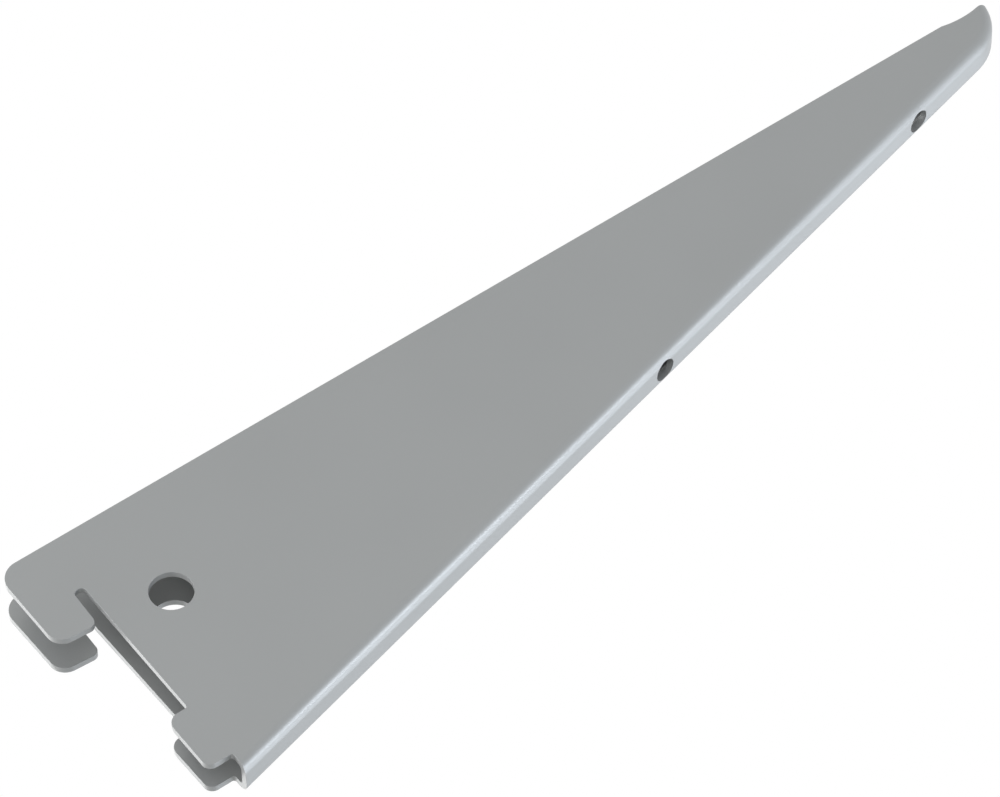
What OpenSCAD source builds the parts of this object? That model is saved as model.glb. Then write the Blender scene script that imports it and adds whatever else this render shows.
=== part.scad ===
// Shelf bracket for a slotted wall upright: one piece of folded steel sheet.
// The web runs along the underside and slopes up to the nose. A cheek stands on each long
// side of it, and the cheeks' free edges carry the shelf. Hooks at the rear hang in the
// slots of the upright, and lugs below them keep the bracket straight.
// X runs forward from the face of the upright, Z is up from the slot's edge that the
// hooks sit on, and Y runs across, with the middle of the bracket at 0.

/* [Reach and depth] */
// From the face of the upright to the front of the nose
reach = 236.3; // [160:0.1:400]
// Depth at the upright, from the shelf line to the underside of the web
rear_depth = 67; // [62:0.5:100]
// How far the web's rear end stands back from the face of the upright
web_back = 0.8; // [0:0.1:2]
// Outer radius of the nose, where the web turns up to the shelf line
nose_r = 12; // [8:0.5:16]
// How far the middle of the nose's curve lies above the shelf line
nose_lift = 2.3; // [0.5:0.1:4]

/* [Sheet] */
// Thickness of the steel sheet
sheet = 1.5; // [1:0.1:2]
// Outer width of the folded channel across its web
web_w = 8.8; // [8:0.1:16]
// Inside radius of the two long folds
fold_r = 1.1; // [0.4:0.1:1.6]
// Angle in degrees by which each cheek leans out from square
splay = 1.4; // [0:0.1:2.5]

/* [Hooks] */
// Height of the shelf line above the slot's edge that the hooks sit on
neck_h = 12.7; // [9:0.1:18]
// Length of the hooks behind the face of the upright
hook_l = 12; // [9:0.1:15]
// How far the hooks' tips reach below the slot's edge
tip_h = 9.2; // [7:0.1:11]
// Slope of the tips' lower edge, as a rise towards the rear
tip_rise = 0.7; // [0:0.1:1.5]
// Width of the notch that takes the wall of the upright
notch_w = 2.4; // [1.8:0.1:3.2]
// How much wider the notch is at its mouth
notch_lead = 0.4; // [0:0.1:1]
// Corner radius at the top of the hooks
hook_top_r = 4.5; // [1:0.1:5]
// Corner radius at the lower rear of the hooks
hook_heel_r = 3.6; // [1:0.1:4]
// Corner radius at the inner end of the tips
hook_tip_r = 1.6; // [0.5:0.1:2.2]

/* [Lugs] */
// Pitch of the slots in the upright
slot_pitch = 50; // [48:0.5:60]
// Clearance between the lugs and the lower edge of their slot
lug_gap = 0.2; // [0:0.1:1]
// Height of the lugs
lug_h = 14; // [8:0.1:20]
// Length of the lugs behind the face of the upright
lug_l = 5; // [3.5:0.1:8]
// Corner radius at the top of the lugs
lug_top_r = 2.6; // [0.5:0.1:3]
// Corner radius at the bottom of the lugs
lug_foot_r = 2; // [0.5:0.1:3]
// Radius in the inner corners above and below the lugs
relief_r = 0.6; // [0.3:0.1:1]

/* [Holes] */
// Diameter of the hole through both cheeks
cheek_hole_d = 9.1; // [5:0.1:12]
// Distance of that hole from the face of the upright
cheek_hole_x = 13.3; // [9:0.1:25]
// Distance of that hole below the shelf line
cheek_hole_drop = 23.9; // [12:0.1:35]
// Diameter of the two screw holes through the web
screw_hole_d = 5.2; // [3.5:0.1:6]
// Distance of the rear screw hole from the front of the nose
rear_screw_back = 110.3; // [60:0.1:130]
// Distance of the front screw hole from the front of the nose
front_screw_back = 29.2; // [20:0.1:50]

/* [Nose edge] */
// Depth of the shallow dip in the free edges behind the nose
dip_h = 0.6; // [0.2:0.1:1.2]
// Length of that dip
dip_l = 10; // [6:0.5:20]
// Distance of the dip's middle from the front of the nose
dip_back = 6.9; // [5:0.1:12]

/* [Hidden] */
$fn = 96;
coat_grey = "#9a9e9d";

shelf_z = neck_h;
under_z = shelf_z - rear_depth;
lug_foot_z = -slot_pitch + lug_gap;
fold_outer_r = fold_r + sheet;
notch_r = 0.46 * notch_w;
// The web's outer face runs from the rear as a tangent to the nose's curve.
nose_x = reach - sqrt(nose_r * nose_r - nose_lift * nose_lift);
nose_z = shelf_z + nose_lift;
nose_rise = nose_z - under_z;
slope = atan2(nose_rise, nose_x) - asin(nose_r / norm([nose_x, nose_rise]));
straight_l = sqrt(nose_x * nose_x + nose_rise * nose_rise - nose_r * nose_r);
cheek_l = rear_depth + nose_r + nose_lift;
margin = 5;
// The corner rounds cross their edges by this much, so that the two meet at a clear point.
round_bite = 0.001;

// What a round of radius r takes off, or fills in, at a corner p between its neighbours a and b
module corner_piece(a, p, b, r) {
  to_a = (a - p) / norm(a - p);
  to_b = (b - p) / norm(b - p);
  half = acos(to_a * to_b) / 2;
  middle_way = (to_a + to_b) / norm(to_a + to_b);
  middle = p + middle_way * (r - round_bite) / sin(half);
  kite = [p + to_a * r / tan(half), p - middle_way * r, p + to_b * r / tan(half), middle];
  difference() {
    polygon(cross(to_a, to_b) < 0 ? kite : [for (i = [3:-1:0]) kite[i]]);
    translate(middle) circle(r);
  }
}

// A flat outline with a radius at each corner: outer corners are cut, inner ones are filled
module rounded_outline(corners) {
  n = len(corners);
  function at(i) = [corners[(i + n) % n][0], corners[(i + n) % n][1]];
  function turn(i) = cross(at(i) - at(i - 1), at(i + 1) - at(i));
  difference() {
    union() {
      polygon([for (i = [0:n - 1]) at(i)]);
      for (i = [0:n - 1])
        if (corners[i][2] > 0 && turn(i) < 0) corner_piece(at(i - 1), at(i), at(i + 1), corners[i][2]);
    }
    for (i = [0:n - 1])
      if (corners[i][2] > 0 && turn(i) > 0) corner_piece(at(i - 1), at(i), at(i + 1), corners[i][2]);
  }
}

// The folded section, seen from the rear, with the outside of the web on the line y = 0
module section() {
  lean = tan(splay);
  wall = sheet / cos(splay);
  foot = web_w / 2 - fold_outer_r * (1 + lean - 1 / cos(splay));
  inner_foot = foot - wall + sheet * lean;
  top = foot + cheek_l * lean;
  rounded_outline([
    [-foot, 0, fold_outer_r],
    [foot, 0, fold_outer_r],
    [top, cheek_l, 0],
    [top - wall, cheek_l, 0],
    [inner_foot, sheet, fold_r],
    [-inner_foot, sheet, fold_r],
    [wall - top, cheek_l, 0],
    [-top, cheek_l, 0]
  ]);
}

// The straight channel, from the start of the nose back along -X to behind the hooks
module straight_channel() {
  rotate([90, 0, -90]) linear_extrude(straight_l + hook_l + margin) section();
}

// The nose: the same section turned up about the middle of the nose's curve
module nose() {
  translate([0, 0, nose_r]) rotate([90, 0, 0]) rotate([0, 0, -90]) rotate_extrude(angle = 90)
    intersection() {
      translate([nose_r, 0]) rotate(90) section();
      translate([0, -web_w]) square([nose_r, 2 * web_w]);
    }
}

// The whole folded channel, with its web sloping up to the nose
module folded_channel() {
  translate([straight_l * cos(slope), 0, under_z + straight_l * sin(slope)]) rotate([0, -slope, 0]) {
    straight_channel();
    nose();
  }
}

// The outline of the cheeks seen from the side, open below and in front of the web
module side_outline() {
  rounded_outline([
    [reach + margin, shelf_z, 0],
    [-hook_l, shelf_z, hook_top_r],
    [-hook_l, tip_rise - tip_h, hook_heel_r],
    [-notch_w - notch_lead, -tip_h, hook_tip_r],
    [-notch_w, 0, notch_r],
    [0, 0, notch_r],
    [0, lug_foot_z + lug_h, relief_r],
    [-lug_l, lug_foot_z + lug_h, lug_top_r],
    [-lug_l, lug_foot_z, lug_foot_r],
    [web_back, lug_foot_z, relief_r],
    [web_back, under_z - margin, 0],
    [reach + margin, under_z - margin, 0]
  ]);
}

// The shallow dip that forming the nose leaves in the free edges
module nose_dip() {
  dip_r = (dip_l * dip_l / 4 + dip_h * dip_h) / (2 * dip_h);
  translate([reach - dip_back, shelf_z - dip_h + dip_r]) circle(dip_r);
}

// A flat side view given a width across the bracket
module across(width) {
  rotate([90, 0, 0]) linear_extrude(width, center = true) children();
}

// A screw hole square to the web, at a distance along X from the front of the nose
module screw_hole(back) {
  hole_x = reach - back;
  translate([hole_x, 0, under_z + hole_x * tan(slope)]) rotate([0, -slope, 0])
    cylinder(h = 2 * (sheet + fold_outer_r), d = screw_hole_d, center = true);
}

module bracket() {
  channel_w = 2 * web_w + 2 * cheek_l * tan(splay);
  color(coat_grey) difference() {
    intersection() {
      folded_channel();
      across(channel_w) difference() {
        side_outline();
        nose_dip();
      }
    }
    translate([cheek_hole_x, 0, shelf_z - cheek_hole_drop]) rotate([90, 0, 0])
      cylinder(h = channel_w, d = cheek_hole_d, center = true);
    screw_hole(rear_screw_back);
    screw_hole(front_screw_back);
  }
}

bracket();
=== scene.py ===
"""A shelf bracket for a slotted upright: one folded steel sheet in a satin silver-grey powder coat."""

import math

import bmesh
import bpy
from mathutils import Matrix, Vector


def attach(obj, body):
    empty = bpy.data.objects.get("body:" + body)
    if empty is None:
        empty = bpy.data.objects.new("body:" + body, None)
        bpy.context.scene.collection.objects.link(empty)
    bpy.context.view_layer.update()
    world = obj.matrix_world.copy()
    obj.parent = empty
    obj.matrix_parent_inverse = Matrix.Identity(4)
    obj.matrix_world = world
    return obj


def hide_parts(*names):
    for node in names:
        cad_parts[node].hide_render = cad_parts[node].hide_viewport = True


MM = 0.001

# The coat rounds every cut edge of the 1.5 mm sheet by about this radius, drawn in this many steps.
EDGE_ROUND = 0.4 * MM
EDGE_STEPS = 4
# Edges between faces that turn by more than this are cut edges, and the folds stay smooth.
CUT_EDGE_TURN = math.radians(40)
# Points of the CAD mesh that are nearer than this are one point.
WELD_DISTANCE = 0.002 * MM
# Faces that turn by less than this from one to the next are one flat face.
FLAT_TURN = math.radians(0.3)

# The coat's grey, and its deeper shade where the powder lay a little thicker
COAT_GREY = "#9fa1a1"
COAT_GREY_DEEP = "#9b9d9d"
# How wide the patches of that deeper shade are
DRIFT_WIDTH = 30 * MM
# How far apart and how high the waves of the coat's peel are
PEEL_WIDTH = 1.6 * MM
PEEL_HEIGHT = 0.03 * MM
# The same for the powder's own grain
GRAIN_WIDTH = 0.25 * MM
GRAIN_HEIGHT = 0.01 * MM

# A long lens stands behind the wall's face, below and on the near side, and looks at the cheeks.
LENS_PLACE = (-0.41838, -1.14057, -0.74813)
LENS_AIM = (0.09525, 0, -0.00809)
# It is rolled about its line of sight, so that the nose points to the upper right corner.
LENS_ROLL = math.radians(-43.476)
LENS_MM = 261.1
SENSOR_MM = 36

# White at a strength of 1 shows as white, and the room's own light on the bracket is a share of it.
WHITE = "#ffffff"
WHITE_STRENGTH = 1.0
ROOM_FILL = 0.5
FLOOR_GREY = "#e4e4e2"
# How far the floor lies below the bracket's origin, and how far it reaches to each side
FLOOR_DROP = 2.0
FLOOR_REACH = 6.0
# The lamps below the bracket are a shade cooler than white.
COOL_WHITE = "#eef5ff"


def linear(hex_colour):
    """An sRGB hex colour as linear red, green, blue and alpha."""
    parts = [int(hex_colour[i : i + 2], 16) / 255 for i in (1, 3, 5)]
    return [c / 12.92 if c <= 0.04045 else ((c + 0.055) / 1.055) ** 2.4 for c in parts] + [1.0]


def blank_tree(owner):
    """The node tree of a material or a world, with the nodes that it starts with taken out."""
    owner.use_nodes = True
    owner.node_tree.nodes.clear()
    return owner.node_tree


def add(tree, kind, settings=None, **inputs):
    """A node with its settings; each input is a value, or another node's output that is linked to it.

    An input goes by its name, with _ for a space, or by its place in the node as n0, n1 and so on.
    """
    node = tree.nodes.new(kind)
    for name, value in (settings or {}).items():
        setattr(node, name, value)
    for name, value in inputs.items():
        by_place = name[0] == "n" and name[1:].isdigit()
        socket = node.inputs[int(name[1:]) if by_place else name.replace("_", " ")]
        if isinstance(value, bpy.types.NodeSocket):
            tree.links.new(value, socket)
        else:
            socket.default_value = value
    return node


def satin_powder_coat():
    """Polyester powder, sprayed on steel and baked.

    It gives the eye an even satin grey, whose fine peel and grain soften what it mirrors.
    """
    coat = bpy.data.materials.new("satin_powder_coat_on_steel")
    tree = blank_tree(coat)
    place = add(tree, "ShaderNodeTexCoord").outputs["Object"]
    drift = add(tree, "ShaderNodeTexNoise", Vector=place, Scale=1 / DRIFT_WIDTH, Detail=1.0, Roughness=0.5)
    peel = add(tree, "ShaderNodeTexNoise", Vector=place, Scale=1 / PEEL_WIDTH, Detail=2.0, Roughness=0.45)
    grain = add(tree, "ShaderNodeTexNoise", Vector=place, Scale=1 / GRAIN_WIDTH, Detail=1.0, Roughness=0.5)

    shade = add(
        tree, "ShaderNodeMix", {"data_type": "RGBA"},
        n0=drift.outputs["Fac"], A=linear(COAT_GREY), B=linear(COAT_GREY_DEEP),
    )
    waves = add(tree, "ShaderNodeBump", Strength=0.12, Distance=PEEL_HEIGHT, Height=peel.outputs["Fac"])
    fine = add(
        tree, "ShaderNodeBump", Strength=0.15, Distance=GRAIN_HEIGHT,
        Height=grain.outputs["Fac"], Normal=waves.outputs["Normal"],
    )
    # Fine metal flake in the powder gives it a part of a metal's shine.
    surface = add(
        tree, "ShaderNodeBsdfPrincipled", Metallic=0.35, Roughness=0.42,
        Base_Color=shade.outputs["Result"], Normal=fine.outputs["Normal"],
    )
    add(tree, "ShaderNodeOutputMaterial", Surface=surface.outputs["BSDF"])
    return coat


def finished(name, shape, material):
    """A shape as an object in its material, at the origin, with its place in its mesh."""
    mesh = bpy.data.meshes.new(name)
    shape.to_mesh(mesh)
    shape.free()
    mesh.materials.append(material)
    piece = bpy.data.objects.new(name, mesh)
    bpy.context.scene.collection.objects.link(piece)
    return piece


def coated_bracket(cad, coat):
    """The folded sheet as the coat leaves it, with every cut edge rounded."""
    shape = bmesh.new()
    shape.from_mesh(cad.data)
    bmesh.ops.remove_doubles(shape, verts=shape.verts, dist=WELD_DISTANCE)
    bmesh.ops.dissolve_limit(shape, angle_limit=FLAT_TURN, verts=shape.verts, edges=shape.edges)
    cut_edges = [e for e in shape.edges if len(e.link_faces) == 2 and e.calc_face_angle() > CUT_EDGE_TURN]
    bmesh.ops.bevel(
        shape, geom=cut_edges, offset=EDGE_ROUND, offset_type="OFFSET", affect="EDGES",
        segments=EDGE_STEPS, profile=0.5, clamp_overlap=True, material=-1,
    )
    for face in shape.faces:
        face.smooth = True
    piece = finished("coated_bracket", shape, coat)
    level = piece.modifiers.new("even_shading", "WEIGHTED_NORMAL")
    level.keep_sharp = True
    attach(piece, "root")
    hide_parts("bracket")


def aimed(place, aim, roll=0.0):
    """Where a lens or lamp stands and how it turns, from its place, its aim and its roll about that line."""
    turn = (Vector(aim) - Vector(place)).to_track_quat("-Z", "Y").to_matrix().to_4x4()
    return Matrix.Translation(place) @ turn @ Matrix.Rotation(roll, 4, "Z")


def lens():
    """The long lens that sees the bracket from below, with its rear end and its near cheek."""
    camera = bpy.data.objects.new("lens", bpy.data.cameras.new("lens"))
    camera.data.sensor_width = SENSOR_MM
    camera.data.lens = LENS_MM
    camera.data.clip_start = 0.05
    camera.data.clip_end = 20
    camera.matrix_world = aimed(LENS_PLACE, LENS_AIM, LENS_ROLL)
    bpy.context.scene.collection.objects.link(camera)
    bpy.context.scene.camera = camera


def white_room():
    """A room that is white to the lens and in reflections, and lights the bracket softly from all sides."""
    world = bpy.data.worlds.new("white_room")
    tree = blank_tree(world)
    ray = add(tree, "ShaderNodeLightPath").outputs
    # Rays from the lens and mirrored rays meet plain white, and all others meet the softer fill.
    highest = {"operation": "MAXIMUM"}
    seen = add(tree, "ShaderNodeMath", highest, n0=ray["Is Camera Ray"], n1=ray["Is Transmission Ray"])
    plain = add(tree, "ShaderNodeMath", highest, n0=seen.outputs[0], n1=ray["Is Glossy Ray"])
    fill = add(tree, "ShaderNodeBackground", Color=linear(WHITE), Strength=ROOM_FILL)
    white = add(tree, "ShaderNodeBackground", Color=linear(WHITE), Strength=WHITE_STRENGTH)
    both = add(tree, "ShaderNodeMixShader", n0=plain.outputs[0], n1=fill.outputs[0], n2=white.outputs[0])
    add(tree, "ShaderNodeOutputWorld", Surface=both.outputs[0])
    bpy.context.scene.world = world


def matt_floor_paint():
    """Matt paint: flat and pale, and nearly as bright as the room where the coat mirrors it."""
    paint = bpy.data.materials.new("matt_floor_paint")
    tree = blank_tree(paint)
    mirrored = add(tree, "ShaderNodeLightPath").outputs["Is Glossy Ray"]
    matt = add(tree, "ShaderNodeBsdfPrincipled", Base_Color=linear(FLOOR_GREY), Roughness=0.8)
    bright = add(tree, "ShaderNodeEmission", Color=linear(FLOOR_GREY), Strength=WHITE_STRENGTH)
    top = add(tree, "ShaderNodeMixShader", n0=mirrored, n1=matt.outputs[0], n2=bright.outputs[0])
    # From below the floor is clear, so that the bracket shows through it.
    underside = add(tree, "ShaderNodeNewGeometry").outputs["Backfacing"]
    clear = add(tree, "ShaderNodeBsdfTransparent")
    both = add(tree, "ShaderNodeMixShader", n0=underside, n1=top.outputs[0], n2=clear.outputs[0])
    add(tree, "ShaderNodeOutputMaterial", Surface=both.outputs[0])
    return paint


def pale_floor():
    """A plain floor, well below the hung bracket."""
    shape = bmesh.new()
    down = Matrix.Translation((0, 0, -FLOOR_DROP))
    bmesh.ops.create_grid(shape, x_segments=1, y_segments=1, size=FLOOR_REACH, matrix=down)
    finished("floor", shape, matt_floor_paint())


def softbox(name, colour, place, aim, side, watts):
    """A square soft lamp that shines from a place towards a point and isn't seen itself."""
    lamp = bpy.data.objects.new(name, bpy.data.lights.new(name, "AREA"))
    lamp.data.shape = "SQUARE"
    lamp.data.size = side
    lamp.data.energy = watts
    lamp.data.color = linear(colour)[:3]
    lamp.matrix_world = aimed(place, aim)
    lamp.visible_camera = False
    bpy.context.scene.collection.objects.link(lamp)


def lamps():
    """Soft lamps that set each side of the bracket apart and draw bright lines along its edges."""
    # A small box below and in front draws the bright line along the fold of the near cheek.
    softbox("fold_light", COOL_WHITE, place=(0.43, -0.11, -0.485), aim=(0.03, 0, -0.05), side=0.16, watts=1)
    # Two boxes below the far side light the web, and more so towards the nose.
    softbox("web_light", COOL_WHITE, place=(0.32, 0.25, -0.62), aim=(0.1, 0, 0), side=0.5, watts=2.1)
    softbox("nose_light", COOL_WHITE, place=(0.46, 0.16, -0.24), aim=(0.2, 0, 0), side=0.3, watts=0.45)
    # A box below the near side lights the lower cut edges.
    softbox("low_light", COOL_WHITE, place=(0.3, -0.35, -0.75), aim=(0.05, 0, 0), side=0.4, watts=1.7)
    # Two boxes on the wall's side, near and far, draw a bright line along the rear cut edges.
    softbox("near_rear_light", WHITE, place=(-0.8, -0.3, 0.45), aim=(0, 0, 0), side=0.5, watts=8)
    softbox("far_rear_light", WHITE, place=(-0.35, 0.95, 0.6), aim=(0, 0, 0), side=0.8, watts=3)
    # A large box beside the lens fills the near cheek.
    softbox("lens_light", WHITE, place=(-0.6, -1.5, -0.7), aim=(0.1, 0, 0), side=1, watts=4)


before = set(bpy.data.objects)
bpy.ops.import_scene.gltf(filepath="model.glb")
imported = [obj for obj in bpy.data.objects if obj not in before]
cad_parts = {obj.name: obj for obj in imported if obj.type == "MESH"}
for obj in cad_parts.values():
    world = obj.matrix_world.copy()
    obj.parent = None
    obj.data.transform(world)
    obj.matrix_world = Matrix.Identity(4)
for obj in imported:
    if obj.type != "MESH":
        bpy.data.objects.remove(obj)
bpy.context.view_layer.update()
lens()
coated_bracket(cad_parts["bracket"], satin_powder_coat())
white_room()
pale_floor()
lamps()
bpy.context.scene.view_settings.view_transform = "Standard"
